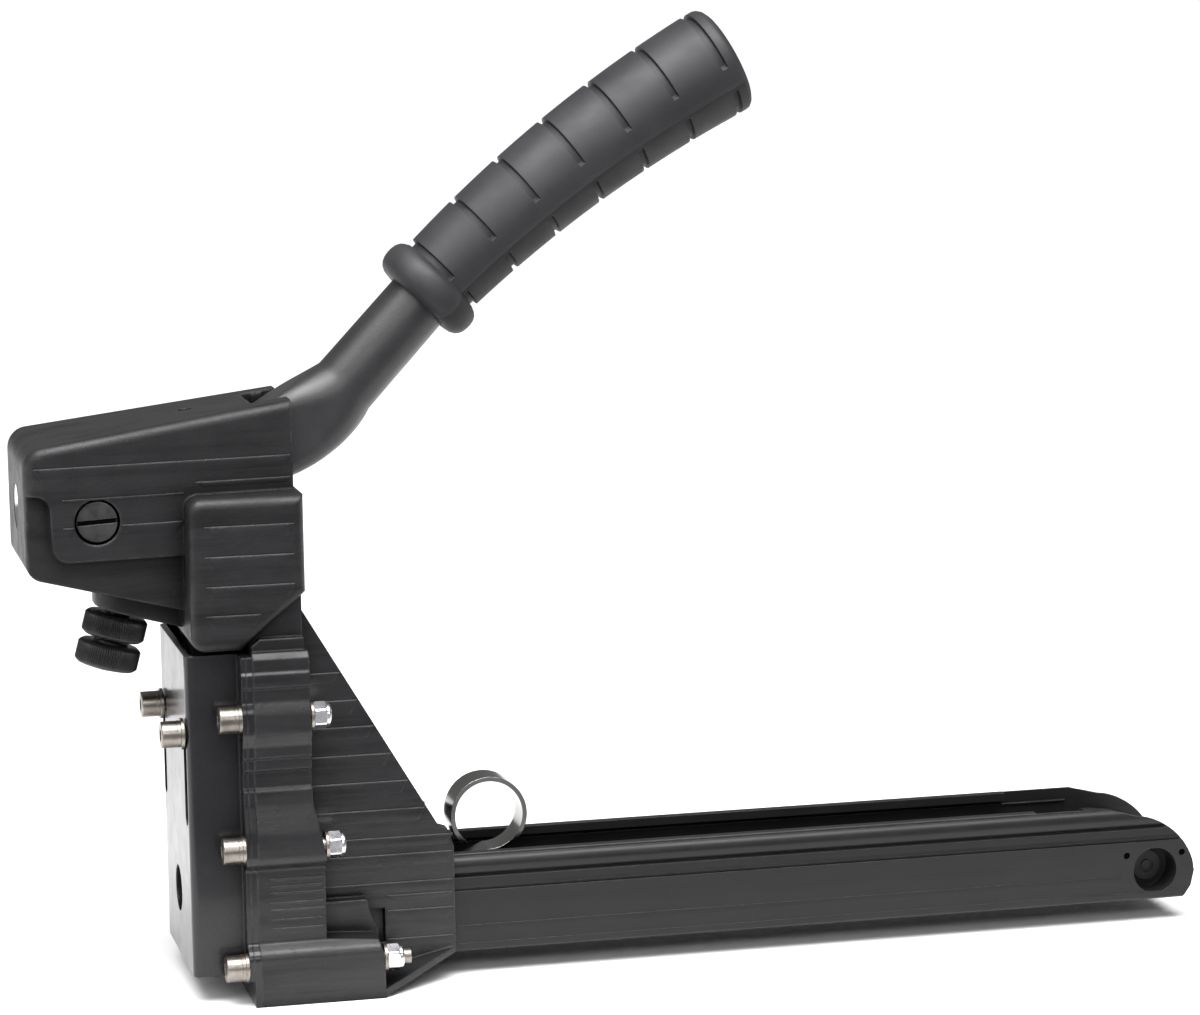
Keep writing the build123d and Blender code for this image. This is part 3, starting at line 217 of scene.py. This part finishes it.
BLACK_PAINT = ((0.0045, 0.0045, 0.005), (0.0175, 0.0175, 0.019))
ALONG_X = (14.0, 60.0, 190.0)
# The cast, head and cover finishes have painted shade darkening their crevices and recesses.
LOOK = {
    "cast_black": surface(
        "cast_black_paint", *BLACK_PAINT, (0.30, 0.46), specular=0.46, grain=1500.0, grain_strength=0.42,
        worn=(0.085, 0.085, 0.09), wear=0.7, edge=0.0009, pits=0.3, streaks=ALONG_X, painted_crevice_shade=0.007),
    "head_housing": surface(
        "head_paint", *BLACK_PAINT, (0.36, 0.54), specular=0.42, grain=1500.0, grain_strength=0.40,
        worn=(0.095, 0.095, 0.10), wear=0.85, edge=0.0013, pits=0.35, streaks=ALONG_X, painted_crevice_shade=0.009),
    "handle_arm": surface(
        "arm_paint", (0.014, 0.014, 0.015), (0.026, 0.026, 0.028), (0.30, 0.42), specular=0.6, grain=1500.0,
        grain_strength=0.40, worn=(0.085, 0.085, 0.09), wear=0.5, edge=0.004, pits=0.2),
    "cover_black": surface(
        "cover_enamel", (0.007, 0.007, 0.008), (0.013, 0.013, 0.014), (0.20, 0.28), specular=0.34, coat=0.15,
        grain=420.0, grain_strength=0.05, worn=(0.10, 0.10, 0.10), wear=0.45, edge=0.0009, painted_crevice_shade=0.012),
    "plate_black": surface(
        "satin_black_steel", (0.008, 0.008, 0.009), (0.018, 0.018, 0.020), (0.26, 0.40), specular=0.42,
        grain=1100.0, grain_strength=0.12, worn=(0.12, 0.12, 0.12), wear=0.6),
    "steel_dark": surface(
        "nickelled_screw_steel", (0.15, 0.135, 0.12), (0.34, 0.31, 0.275), (0.26, 0.40), metallic=1.0,
        patch=160.0, grain=1600.0, grain_strength=0.12, worn=(0.62, 0.58, 0.53), wear=0.8, edge=0.0003,
        brush=(40.0, 1700.0, 1700.0), brush_strength=0.6),
    "zinc": surface(
        "bright_zinc", (0.50, 0.50, 0.52), (0.82, 0.82, 0.84), (0.16, 0.30), metallic=1.0, patch=180.0,
        grain=1400.0, grain_strength=0.10, worn=(0.95, 0.95, 0.95), wear=0.7, edge=0.0003),
    "bright": surface(
        "polished_bush", (0.75, 0.75, 0.75), (0.92, 0.92, 0.92), (0.12, 0.22), metallic=1.0,
        grain_strength=0.05, worn=(1.0, 1.0, 1.0), wear=0.5, edge=0.0003),
    "magazine_black": surface(
        "black_anodised_extrusion", (0.0065, 0.0063, 0.0063), (0.0135, 0.013, 0.013), (0.32, 0.42),
        specular=0.30, grain=1300.0, grain_strength=0.14, worn=(0.10, 0.10, 0.105), wear=0.6, edge=0.0004,
        brush=(6.0, 900.0, 900.0), brush_strength=0.26, streaks=(5.0, 200.0, 260.0)),
    "rubber_black": surface(
        "moulded_rubber", (0.017, 0.017, 0.019), (0.029, 0.029, 0.032), (0.46, 0.62), specular=0.42,
        grain=1900.0, grain_strength=0.32, worn=(0.060, 0.060, 0.062), wear=0.4, edge=0.0004),
    # A darker, rougher, less shiny copy of the rubber for the grip's underside: painted shade.
    "rubber_shaded_underside": surface(
        "moulded_rubber_painted_shade", (0.015, 0.015, 0.016), (0.026, 0.026, 0.028), (0.52, 0.68), specular=0.28,
        grain=1500.0, grain_strength=0.5, worn=(0.045, 0.045, 0.047), wear=0.4, edge=0.0004),
    "tail_plastic": surface(
        "moulded_black_plastic", (0.006, 0.006, 0.007), (0.014, 0.014, 0.015), (0.40, 0.55), specular=0.28,
        grain=1100.0, grain_strength=0.45, worn=(0.06, 0.06, 0.06), wear=0.4, edge=0.0004),
    "spring_steel": surface(
        "blued_spring_steel", (0.025, 0.026, 0.030), (0.060, 0.062, 0.070), (0.20, 0.32), metallic=0.85,
        grain_strength=0.06, worn=(0.35, 0.35, 0.36), wear=0.7, edge=0.0003,
        brush=(500.0, 8.0, 500.0), brush_strength=0.10),
    "bronze": surface(
        "oiled_bronze", (0.36, 0.24, 0.12), (0.55, 0.40, 0.22), (0.28, 0.42), metallic=1.0,
        grain=1200.0, grain_strength=0.15, worn=(0.75, 0.60, 0.38), wear=0.5, edge=0.0003),
    # A near-black matte: painted shadow in the pivot pin slots, and the tail pins' colour.
    "near_black": surface(
        "near_black_matte", (0.0015, 0.0015, 0.0015), (0.003, 0.003, 0.003), (0.85, 0.95), specular=0.03),
    "pusher_ring": surface(
        "polished_spring_strip", (0.20, 0.195, 0.19), (0.34, 0.33, 0.315), (0.10, 0.18), metallic=1.0,
        grain=700.0, grain_strength=0.04, worn=(0.55, 0.54, 0.53), wear=0.6, edge=0.0003),
    "pivot_pin": surface(
        "pin_face", (0.012, 0.012, 0.012), (0.036, 0.036, 0.036), (0.38, 0.60), specular=0.42, patch=220.0,
        grain_strength=0.5, worn=(0.10, 0.10, 0.10), wear=0.5, edge=0.0004),
    "drum_coil": wound("wound_feed_spring", (0.02, 0.02, 0.022), (0.30, 0.30, 0.32), 329.3, 17.5, 0.00025),
}
LOOK["pivot_ring"] = LOOK["pivot_pin"]
LOOK["guide_plate"] = LOOK["cover_black"]
# The tail pins get the same near-black matte all over.
LOOK["tail_pins"] = LOOK["near_black"]

slot_of = {s["node"]: s["material_slot"] for s in frame["record"]["subparts"]}
for node, piece in frame["nodes"].items():
    piece.data.materials.clear()
    piece.data.materials.append(LOOK[node] if node in LOOK else LOOK[slot_of[node]])


# -------------------------------------------------------------------- helpers
def finished(name, mesh, body, slot, smooth=None, material=None):
    """Puts a mesh in the scene on one CAD body, with the look of one of the record's slots or of the given
    material.
    """
    piece = bpy.data.objects.new(name, mesh)
    bpy.context.scene.collection.objects.link(piece)
    mesh.materials.append(LOOK[material or slot])
    if smooth is not None:
        mesh.shade_smooth()
        mesh.set_sharp_from_angle(angle=math.radians(smooth))
    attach(piece, body)
    return piece


def mesh_from(name, vertices, faces):
    mesh = bpy.data.meshes.new(name)
    mesh.from_pydata([tuple(v) for v in vertices], [], faces)
    mesh.validate()
    shape = bmesh.new()
    shape.from_mesh(mesh)
    bmesh.ops.remove_doubles(shape, verts=shape.verts, dist=1e-7)
    bmesh.ops.recalc_face_normals(shape, faces=shape.faces)
    shape.to_mesh(mesh)
    shape.free()
    return mesh


def tube(name, rings, closed=False):
    """Skins a list of equal rings of points. The ends are capped, unless the tube closes on itself."""
    count = len(rings[0])
    vertices = [point for ring in rings for point in ring]
    faces = []
    last = len(rings) if closed else len(rings) - 1
    for i in range(last):
        a, b = i * count, ((i + 1) % len(rings)) * count
        for j in range(count):
            k = (j + 1) % count
            faces.append((a + j, a + k, b + k, b + j))
    if not closed:
        faces.append(tuple(range(count - 1, -1, -1)))
        faces.append(tuple(range((len(rings) - 1) * count, len(rings) * count)))
    return mesh_from(name, vertices, faces)


def joined(name, meshes):
    shape = bmesh.new()
    for mesh in meshes:
        shape.from_mesh(mesh)
        bpy.data.meshes.remove(mesh)
    result = bpy.data.meshes.new(name)
    shape.to_mesh(result)
    shape.free()
    return result


# ------------------------------------------------------------- rubber grip
GRIP_START = (87.0, 222.8)
GRIP_ANGLE = math.radians(44.0)
GRIP_BEND = 427.0
GRIP_LENGTH = 124.0
GRIP_R = (14.5, 18.3)
GROOVES = [6.4 + 18.55 * k for k in range(7)]
GROOVE_HALF = 1.15
GROOVE_DEPTH = 1.5
GROOVE_GAP = (90.0, 120.0)
MOULD_LINE = (111.8, 114.2)
PAINTED_SHADE_ANGLE = 114.0
COLLAR = (
    (-2.0, 10.4), (-5.6, 10.4), (-6.0, 11.2), (-6.0, 13.0), (-5.7, 14.6), (-5.0, 15.9), (-3.9, 16.9),
    (-2.4, 17.55), (-0.8, 17.8), (0.8, 17.8), (2.4, 17.5), (3.7, 16.8), (4.6, 15.8), (5.0, 14.9),
)
END_ROUND = ((2.0, 0.35), (1.0, 1.2), (0.3, 2.5), (0.0, 4.2))


def grip_point(s, radius, around):
    bend = s / GRIP_BEND
    angle = GRIP_ANGLE - bend
    x = GRIP_START[0] + GRIP_BEND * (math.sin(GRIP_ANGLE) - math.sin(angle))
    z = GRIP_START[1] + GRIP_BEND * (math.cos(angle) - math.cos(GRIP_ANGLE))
    up, side = math.cos(around) * radius, math.sin(around) * radius
    return mm(x - math.sin(angle) * up, -side, z + math.cos(angle) * up)


def grip_radius(s):
    return GRIP_R[0] + (GRIP_R[1] - GRIP_R[0]) * min(1.0, max(0.0, s / (GRIP_LENGTH - 8.0)))


def grip_angles():
    """Finer steps where the grooves stop and along the mould line."""
    top = [6 * k for k in range(15)]
    side = [88, 91.5, 96, 102, 107, 111.4, 112.2, 113.8, 114.6, 117, 119, 121.5]
    bottom = [126 + 6 * k for k in range(6)] + [163, 171]
    half = [math.radians(a) for a in top + side + bottom]
    return half + [math.pi] + [2 * math.pi - a for a in reversed(half[1:])]


def from_top(around):
    """Degrees from the grip's top line, the same on both sides."""
    return math.degrees(min(around, 2 * math.pi - around))


def grooved(s, around, radius):
    """The radius with the grooves cut in, the mould line raised and the underside a little lower."""
    degrees = from_top(around)
    depth = 0.0
    for g in GROOVES:
        off = abs(s - g)
        if off < GROOVE_HALF + 0.01:
            depth = GROOVE_DEPTH if off < GROOVE_HALF - 0.2 else 0.0
    if GROOVE_GAP[0] < degrees < GROOVE_GAP[1]:
        depth = 0.0
    line = 0.14 if MOULD_LINE[0] < degrees < MOULD_LINE[1] else 0.0
    low = 0.2 if degrees > MOULD_LINE[1] else 0.0
    return radius - depth + line - low


def grip_stations():
    """Distance along the grip, radius, and whether the grooves cut there."""
    marks = [7.0]
    for g in GROOVES:
        marks += [g - GROOVE_HALF, g - GROOVE_HALF + 0.22, g + GROOVE_HALF - 0.22, g + GROOVE_HALF]
        marks += [g + 4.0, g + 9.3, g + 14.6]
    marks = sorted(m for m in marks if 5.1 < m < GRIP_LENGTH - 3.2)
    end = GRIP_R[1]
    stations = [(s, radius, False) for s, radius in COLLAR]
    stations += [(s, grip_radius(s), True) for s in marks]
    stations += [(GRIP_LENGTH - 3.0, end, True)]
    stations += [(GRIP_LENGTH - back, end - less, False) for back, less in END_ROUND]
    stations += [(GRIP_LENGTH, 9.0, False), (GRIP_LENGTH - 0.8, 8.0, False)]
    return stations


def make_grip():
    angles = grip_angles()
    rings = []
    for s, radius, cut in grip_stations():
        ring = []
        for around in angles:
            r = grooved(s, around, radius) if cut else radius
            if not cut and -5 < s < 5 and MOULD_LINE[0] < from_top(around) < MOULD_LINE[1]:
                r += 0.16
            ring.append(grip_point(s, r, around))
        rings.append(ring)
    return tube("grip_rubber", rings)


grip_mesh = make_grip()
grip = finished("grip_rubber", grip_mesh, "handle", "rubber_black", smooth=32)
# Faces on the grip's underside get the darker copy of the rubber: painted shade.
grip_mesh.materials.append(LOOK["rubber_shaded_underside"])
STEPS = grip_angles()
for face in grip_mesh.polygons:
    if len(face.vertices) == 4:
        turned = [from_top(STEPS[v % len(STEPS)]) for v in face.vertices]
        if sum(turned) / 4 > PAINTED_SHADE_ANGLE:
            face.material_index = 1
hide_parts("handle_grip")

# --------------------------------------------------------- depth stop knobs
STOP_FOOT = (-18.1, 118.2)
TILT = math.atan2(138.4 - 125.6, 2.0 + 44.8)
KNOB_R = 10.2
KNOB_T = 8.0
KNOB_PITCH = 9.6
KNOB_BORE = 4.05
TEETH = 80
TOOTH_DEPTH = 0.6


def stop_point(radius, around, height):
    """A point round the tilted axis of the depth stop."""
    a, b = radius * math.cos(around), radius * math.sin(around)
    x = STOP_FOOT[0] + a * math.cos(TILT) + height * math.sin(TILT)
    z = STOP_FOOT[1] - a * math.sin(TILT) + height * math.cos(TILT)
    return mm(x, b, z)


def knurled(name, profile):
    """Turns (radius, height, knurl share) about the stop axis into a closed ring."""
    rings = []
    steps = TEETH * 4
    for i in range(steps):
        around = 2 * math.pi * i / steps
        dip = (0.0, 0.35, 1.0, 0.35)[i % 4] * TOOTH_DEPTH
        rings.append([stop_point(r - dip * share, around, h) for r, h, share in profile])
    return tube(name, rings, closed=True)


def knob_profile(middle, washer=False):
    t, bore = KNOB_T / 2, KNOB_BORE
    rim = [(KNOB_R - 2.1, t, 0), (KNOB_R - 1.9, t - 0.12, 0), (KNOB_R - 1.25, t - 0.15, 0),
           (KNOB_R - 0.45, t - 0.75, 0.6), (KNOB_R, t - 1.3, 1)]
    outer = [(bore, -t + 0.3, 0), (bore + 0.3, -t, 0)]
    outer += [(r, -h, share) for r, h, share in rim] + [(KNOB_R, 0, 1)] + rim[::-1]
    if washer:
        outer += [(5.6, t, 0), (5.6, t + 0.7, 0), (5.4, t + 0.85, 0), (bore + 0.3, t + 0.85, 0)]
        outer += [(bore, t + 0.6, 0)]
    else:
        outer += [(bore + 0.3, t, 0), (bore, t - 0.3, 0)]
    return [(r, h + middle, share) for r, h, share in outer]


lock = finished("knurled_lock_knob", knurled("knurled_lock_knob", knob_profile(0.0)),
                "lock_knob", "plate_black", smooth=40)
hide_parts("lock_knob")
adjust = finished("knurled_adjusting_knob",
                  knurled("knurled_adjusting_knob", knob_profile(-KNOB_PITCH, washer=True)),
                  "adjusting_knob", "plate_black", smooth=40)
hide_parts("adjusting_knob")

THREAD_R = 4.0
THREAD_DEPTH = 0.55
THREAD_PITCH = 1.25
THREAD_TOP = 20.6


def make_thread():
    """The depth screw: a fine thread from its foot up into the nose."""
    low, high, steps = -KNOB_PITCH - KNOB_T / 2 - 0.8, THREAD_TOP, 40
    rows = [(low, 2.6), (low, 3.3), (low + 0.5, 3.95)]
    h = low + 0.7
    while h < high - 0.7:
        rows.append((h, None))
        h += THREAD_PITCH / 4
    rows += [(high - 0.4, 3.9), (high, 3.3)]
    rings = []
    for h, plain in rows:
        ring = []
        for i in range(steps):
            phase = (h / THREAD_PITCH - i / steps) % 1.0
            radius = plain or THREAD_R - THREAD_DEPTH * abs(2 * phase - 1)
            ring.append(stop_point(radius, 2 * math.pi * i / steps, h))
        rings.append(ring)
    return tube("depth_screw_thread", rings)


screw = finished("depth_screw_thread", make_thread(), "stop_screw", "plate_black", smooth=50)
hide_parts("stop_screw")

# ------------------------------------------------------------ return springs
SPRING_X = 9.6
SPRING_Y = 20.0
SPRING_Z = (44.1, 77.9)
SPRING_R = 4.4
WIRE_R = 0.42
TURNS = 7


def make_coil(side):
    steps, around = 28, 10
    low, high = SPRING_Z[0] + WIRE_R, SPRING_Z[1] - WIRE_R
    total = (TURNS + 1) * steps
    rings = []
    for i in range(total + 1):
        turn = i / steps
        rise = min(1.0, max(0.0, (turn - 0.5) / TURNS))
        a = 2 * math.pi * turn
        z = low + (high - low) * rise
        ring = []
        for j in range(around):
            b = 2 * math.pi * j / around
            r = SPRING_R + WIRE_R * math.cos(b)
            x, y = SPRING_X + r * math.cos(a), side * SPRING_Y + r * math.sin(a)
            ring.append(mm(x, y, z + WIRE_R * math.sin(b)))
        rings.append(ring)
    return tube("coil", rings)


both_coils = joined("return_coils", [make_coil(-1), make_coil(1)])
coils = finished("return_coils", both_coils, "body", "spring_steel", smooth=60)
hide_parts("return_springs")
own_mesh(coils)


# ------------------------------------------ raised strips on cast surfaces
SUNK = 0.6
STRIP_TAPER = 2.5
STRIP_EDGE = 0.22


def strip(x0, x1, z0, z1, depth_at, proud, side):
    """A long lap like a shingle: its top edge stands out, its bottom edge and its ends run into the face."""
    taper = min(STRIP_TAPER, (x1 - x0) / 3)
    points = []
    for x, low in ((x0, z1 - 0.5), (x0 + taper, z0), (x1 - taper, z0), (x1, z1 - 0.5)):
        y = depth_at(x)
        section = ((y - SUNK, low), (y - 0.03, low), (y + proud, z1 - STRIP_EDGE), (y + proud * 0.7, z1),
                   (y - SUNK, z1))
        points += [mm(x, side * out, z) for out, z in section]
    faces = [(0, 1, 2, 3, 4), (19, 18, 17, 16, 15)]
    for part in (0, 5, 10):
        faces += [(part + k, part + (k + 1) % 5, part + (k + 1) % 5 + 5, part + k + 5) for k in range(5)]
    return mesh_from("strip", points, faces)


PIN_X, PIN_Z = -25.5, 156.2


def head_half(x):
    return 31.0 - 9.0 * (x + 48.0) / 85.6


def web_end(z):
    return 86.2 if z < 49.0 else 38.4 + (124.8 - z) * 43.2 / 73.8 - 0.4


def make_strips(name, rows, slot="cast_black"):
    pieces = []
    for side in (-1, 1):
        for x0, x1, z0, z1, depth_at, proud in rows:
            pieces.append(strip(x0, x1, z0, z1, depth_at, proud, side))
    return finished(name, joined(name, pieces), "body", slot, smooth=30)


def flat(y):
    """A side face that is parallel to the middle plane."""
    return lambda x: y


skirt_face = flat(36.6)
web_face = flat(24.0)
panel_face = flat(37.05)
rail_face = flat(20.0)

make_strips("head_side_strips", [
    (-45.2, 36.8, 170.0, 174.0, head_half, 0.30),
    (-36.4, 2.2, 163.2, 163.9, head_half, 0.26),
    (-36.4, -32.9, 151.0, 155.0, head_half, 0.24),
    (-18.1, 1.8, 151.0, 155.0, head_half, 0.24),
    (6.0, 36.8, 164.9, 167.0, head_half, 0.20),
])
make_strips("skirt_strips", [
    (6.6, 35.2, 149.6, 154.2, skirt_face, 0.30),
    (6.6, 35.2, 140.0, 144.6, skirt_face, 0.30),
    (6.6, 35.2, 130.6, 135.1, skirt_face, 0.30),
    (6.6, 24.0, 121.2, 125.8, skirt_face, 0.30),
])
web_rows = ((103.3, 3.8), (94.1, 5.4), (85.3, 4.4), (76.0, 4.6), (66.8, 4.6), (57.5, 4.6), (48.3, 3.9),
            (42.6, 4.4))
low_web_rows = ((41.0, 33.3, 3.8), (64.0, 29.1, 2.0), (64.0, 24.1, 4.6), (64.0, 14.7, 4.0))
make_strips(
    "web_strips",
    [(38.0, web_end(z), z - rise, z, web_face, 0.26) for z, rise in web_rows]
    + [(x, 86.2, z - rise, z, web_face, 0.26) for x, z, rise in low_web_rows],
)
make_strips("panel_strips", [
    (24.0, 41.9, z - 1.2, z, panel_face, 0.12) for z in (40.6, 38.1, 35.9, 32.7, 30.4, 27.2, 24.3)
])
make_strips("magazine_lines", [
    (88.0, 318.0, 13.0, 16.2, rail_face, 0.16),
    (88.0, 336.0, 8.6, 10.2, rail_face, 0.14),
], slot="magazine_black")


BOX_FACES = [(0, 1, 2, 3), (7, 6, 5, 4)] + [(k, (k + 1) % 4, (k + 1) % 4 + 4, k + 4) for k in range(4)]


def make_ledge():
    """The thin ledge inside the magazine's far wall, under its lip."""
    section = ((18.2, 34.4), (17.1, 34.9), (17.1, 35.3), (18.2, 35.5))
    points = [mm(x, y, z) for x in (92.0, 310.5) for y, z in section]
    return mesh_from("magazine_ledge", points, BOX_FACES)


finished("magazine_ledge", make_ledge(), "body", "magazine_black", smooth=30)


def make_slot_shadow():
    """A near-black box on the floor of the slot in each end of the pivot pin: painted shadow."""
    half_length, half_height = 5.9, 0.70
    turn = math.radians(3)
    flat_points = []
    for dx, dz in ((-1, -1), (1, -1), (1, 1), (-1, 1)):
        along, up = dx * half_length, dz * half_height
        flat_points.append((PIN_X + along * math.cos(turn) - up * math.sin(turn),
                            PIN_Z + along * math.sin(turn) + up * math.cos(turn)))
    pieces = []
    for side in (-1, 1):
        face = head_half(PIN_X) - 0.5
        points = [mm(x, side * (face - deep), z) for deep in (1.52, 0.5) for x, z in flat_points]
        pieces.append(mesh_from("near_black", points, BOX_FACES))
    return joined("pin_slot_painted_shadow", pieces)


finished("pin_slot_painted_shadow", make_slot_shadow(), "body", "cast_black", smooth=30, material="near_black")


# ------------------------------------------------------------------- staging
def softbox(name, place, aim, size, power):
    data = bpy.data.lights.new(name, "AREA")
    data.shape = "RECTANGLE"
    data.size, data.size_y = size
    data.energy = power
    light = bpy.data.objects.new(name, data)
    light.location = place
    light.rotation_euler = (Vector(aim) - Vector(place)).to_track_quat("-Z", "Y").to_euler()
    bpy.context.scene.collection.objects.link(light)


def ground_sheet(name, xs, ys, height):
    """A flat rectangle on the ground that isn't part of the object."""
    mesh = bpy.data.meshes.new(name)
    (x0, x1), (y0, y1) = xs, ys
    mesh.from_pydata([(x0, y0, 0), (x1, y0, 0), (x1, y1, 0), (x0, y1, 0)], [], [(0, 1, 2, 3)])
    sheet = bpy.data.objects.new(name, mesh)
    sheet.location.z = height
    bpy.context.scene.collection.objects.link(sheet)
    return sheet


def make_ground():
    floor = ground_sheet("floor", (-30.0, 30.0), (-30.0, 30.0), -0.0004)
    g = Graph("floor_paper")
    g.join(g.mix(g.noise(3.0), (0.90, 0.90, 0.90), (0.93, 0.93, 0.93)), g.shader.inputs["Base Color"])
    g.shader.inputs["Roughness"].default_value = 0.9
    g.shader.inputs["Specular IOR Level"].default_value = 0.1
    floor.data.materials.append(g.material)

    # a dark card on the ground in front: the camera doesn't see it, but the object reflects it
    card = ground_sheet("dark_card", (-2.5, 2.5), (-3.2, -0.16), 0.002)
    card.visible_camera = False
    card.visible_shadow = False
    g = Graph("card_paint")
    g.shader.inputs["Base Color"].default_value = (0.16, 0.16, 0.17, 1.0)
    g.shader.inputs["Roughness"].default_value = 0.9
    card.data.materials.append(g.material)


def make_lights():
    world = bpy.data.worlds.new("studio")
    world.use_nodes = True
    background = world.node_tree.nodes["Background"]
    background.inputs["Color"].default_value = (1.0, 1.0, 1.0, 1.0)
    background.inputs["Strength"].default_value = 0.22
    bpy.context.scene.world = world

    sun = bpy.data.lights.new("soft_sun", "SUN")
    sun.energy = 3.3
    sun.angle = math.radians(50)
    lamp = bpy.data.objects.new("soft_sun", sun)
    lamp.rotation_euler = Vector((0.15, 0.35, -1.0)).to_track_quat("-Z", "Y").to_euler()
    bpy.context.scene.collection.objects.link(lamp)
    softbox("top_box", (0.0, -0.45, 1.15), (0.03, 0.0, 0.15), (1.5, 0.7), 19.0)
    softbox("front_box", (-0.2, -1.5, 0.80), (0.0, 0.0, 0.15), (1.1, 0.35), 7.0)
    softbox("left_box", (-1.0, -0.5, 0.7), (0.0, 0.0, 0.18), (0.5, 0.9), 4.0)
    bpy.context.scene.view_settings.view_transform = "Standard"
    bpy.context.scene.view_settings.look = "None"


CAMERA_PLACE = (-0.2022, -1.2764, 0.3449)
CAMERA_AZIMUTH = math.radians(13.259)
CAMERA_ELEVATION = math.radians(8.5207)
CAMERA_ROLL = math.radians(-0.9178)
CAMERA_LENS = 120.975


def make_camera():
    azimuth, elevation, roll = CAMERA_AZIMUTH, CAMERA_ELEVATION, CAMERA_ROLL
    forward = Vector((math.sin(azimuth) * math.cos(elevation), math.cos(azimuth) * math.cos(elevation),
                      -math.sin(elevation)))
    right = Vector((math.cos(azimuth), -math.sin(azimuth), 0.0))
    up = right.cross(forward)
    right_rolled = math.cos(roll) * right + math.sin(roll) * up
    up_rolled = math.cos(roll) * up - math.sin(roll) * right
    data = bpy.data.cameras.new("camera")
    data.lens = CAMERA_LENS
    data.sensor_width = 36.0
    data.clip_end = 50.0
    camera = bpy.data.objects.new("camera", data)
    turn = Matrix((right_rolled, up_rolled, -forward)).transposed()
    camera.matrix_world = Matrix.Translation(CAMERA_PLACE) @ turn.to_4x4()
    bpy.context.scene.collection.objects.link(camera)
    bpy.context.scene.camera = camera


make_ground()
make_lights()
make_camera()
